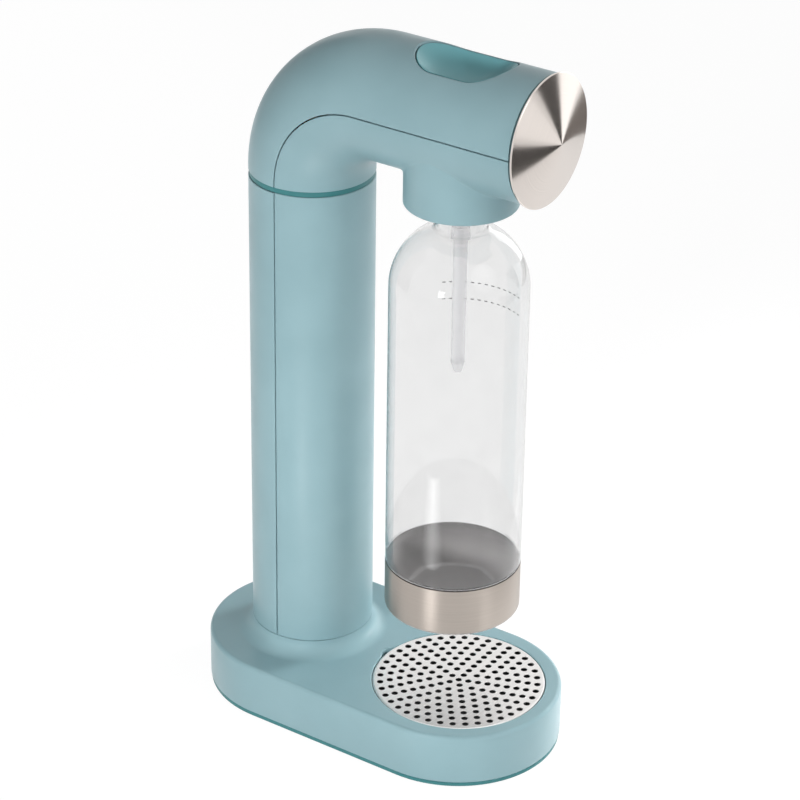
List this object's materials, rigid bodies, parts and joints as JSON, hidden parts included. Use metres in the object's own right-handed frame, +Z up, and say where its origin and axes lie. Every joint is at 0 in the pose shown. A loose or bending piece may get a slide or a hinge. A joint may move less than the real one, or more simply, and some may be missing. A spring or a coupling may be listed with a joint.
{
  "type": "sparkling water maker",
  "caption": "Counter-top sparkling water maker: bent tube arm with a press button, gas cylinder in the column, screw-in clear bottle over a drip grid.",
  "frame": {"origin": "on the table, under the middle of the base", "axes": "+Z up; -Y is the front, where the bottle hangs; +X is to the right of someone who looks along +Y"},
  "size_m": [0.124, 0.229, 0.4278],
  "materials": {
    "body_teal": "satin moulded plastic, pale blue-green",
    "trim_teal": "satin moulded plastic, dark blue-green",
    "brushed_steel": "brushed stainless steel",
    "bright_steel": "turned stainless steel",
    "zinc_steel": "zinc-plated steel",
    "spring_steel": "drawn spring wire",
    "cylinder_metal": "drawn aluminium, satin",
    "brass": "turned brass",
    "black_rubber": "matt black rubber",
    "black_plastic": "matt black moulded plastic",
    "pale_plastic": "pale moulded plastic",
    "clear_plastic": "clear bottle plastic"
  },
  "bodies": {
    "housing": {"base_shell": "body_teal", "base_plate": "trim_teal", "rubber_feet": "black_rubber", "base_screws": "zinc_steel", "spine": "zinc_steel", "spine_screws": "zinc_steel", "column_front_shell": "body_teal", "column_band": "trim_teal", "cylinder_pad": "black_rubber", "valve_bracket": "zinc_steel", "bracket_screws": "zinc_steel", "valve_block": "brass", "plunger_seal": "black_rubber", "plunger_spring": "spring_steel", "lever_pin": "bright_steel", "gas_fittings": "pale_plastic", "gas_tube": "pale_plastic", "head_lower_shell": "body_teal", "head_upper_shell": "body_teal", "head_screws": "zinc_steel", "button_guide": "pale_plastic", "guide_screws": "zinc_steel", "button_springs": "spring_steel", "disc_carrier": "trim_teal", "front_disc": "brushed_steel", "bottle_socket": "pale_plastic", "socket_screws": "zinc_steel", "nozzle_block": "brass", "nozzle_tube": "pale_plastic", "nozzle_tip": "pale_plastic", "relief_body": "brass", "relief_spring": "spring_steel"},
    "button": {"button": "body_teal"},
    "lever": {"lever": "zinc_steel"},
    "plunger": {"plunger": "bright_steel"},
    "cylinder_seal": {"cylinder_seal": "black_rubber"},
    "cylinder": {"co2_cylinder": "cylinder_metal", "cylinder_valve": "brass", "pin_spring": "spring_steel"},
    "valve_pin": {"cylinder_pin": "bright_steel"},
    "neck_seal": {"neck_seal": "black_rubber"},
    "bottle": {"bottle_vessel": "clear_plastic", "bottle_cup": "brushed_steel"},
    "back_cover": {"column_back_cover": "body_teal"},
    "drip_pan": {"drip_pan": "black_plastic"},
    "drip_grid": {"drip_grid": "brushed_steel"},
    "relief_poppet": {"relief_poppet": "black_plastic"}
  },
  "joints": [
    {"name": "button_press", "type": "slide", "parent": "housing", "child": "button", "axis": [0, 0, -1], "range_m": [0, 0.007], "stiffness_N_per_m": 1500, "springref_m": -0.004, "deforming": ["button_springs"]},
    {"name": "lever_rock", "type": "hinge", "parent": "housing", "child": "lever", "pos_m": [0, 0.0715, 0.3721], "axis": [1, 0, 0], "range_deg": [0, 3.4]},
    {"name": "plunger_push", "type": "slide", "parent": "housing", "child": "plunger", "axis": [0, 0, -1], "range_m": [0, 0.0012], "deforming": ["plunger_spring"]},
    {"name": "cylinder_turn", "type": "hinge", "parent": "housing", "child": "cylinder_seal", "pos_m": [0, 0.0525, 0], "axis": [0, 0, -1], "range_deg": [0, 720]},
    {"name": "cylinder_drop", "type": "slide", "parent": "cylinder_seal", "child": "cylinder", "axis": [0, 0, -1], "range_m": [0, 0.0081]},
    {"name": "pin_push", "type": "slide", "parent": "cylinder", "child": "valve_pin", "axis": [0, 0, -1], "range_m": [0, 0.0012], "deforming": ["pin_spring"]},
    {"name": "bottle_turn", "type": "hinge", "parent": "housing", "child": "neck_seal", "pos_m": [0, -0.048, 0], "axis": [0, 0, -1], "range_deg": [0, 720]},
    {"name": "bottle_drop", "type": "slide", "parent": "neck_seal", "child": "bottle", "axis": [0, 0, -1], "range_m": [0, 0.0081]},
    {"name": "cover_off", "type": "slide", "parent": "housing", "child": "back_cover", "axis": [0, 1, 0], "range_m": [0, 0.08]},
    {"name": "pan_lift", "type": "slide", "parent": "housing", "child": "drip_pan", "axis": [0, 0, 1], "range_m": [0, 0.025]},
    {"name": "grid_lift", "type": "slide", "parent": "drip_pan", "child": "drip_grid", "axis": [0, 0, 1], "range_m": [0, 0.012]},
    {"name": "relief_lift", "type": "slide", "parent": "housing", "child": "relief_poppet", "axis": [0, -1, 0], "range_m": [0, 0.0015], "stiffness_N_per_m": 800, "springref_m": -0.004, "deforming": ["relief_spring"]}
  ],
  "couplings": [
    {"joint": "lever_rock", "follows": "button_press", "rad_per_m": 8.2645},
    {"joint": "plunger_push", "follows": "button_press", "ratio": 0.15702},
    {"joint": "pin_push", "follows": "button_press", "ratio": 0.15702},
    {"joint": "cylinder_drop", "follows": "cylinder_turn", "m_per_rad": 0.00063662},
    {"joint": "bottle_drop", "follows": "bottle_turn", "m_per_rad": 0.00063662}
  ]
}
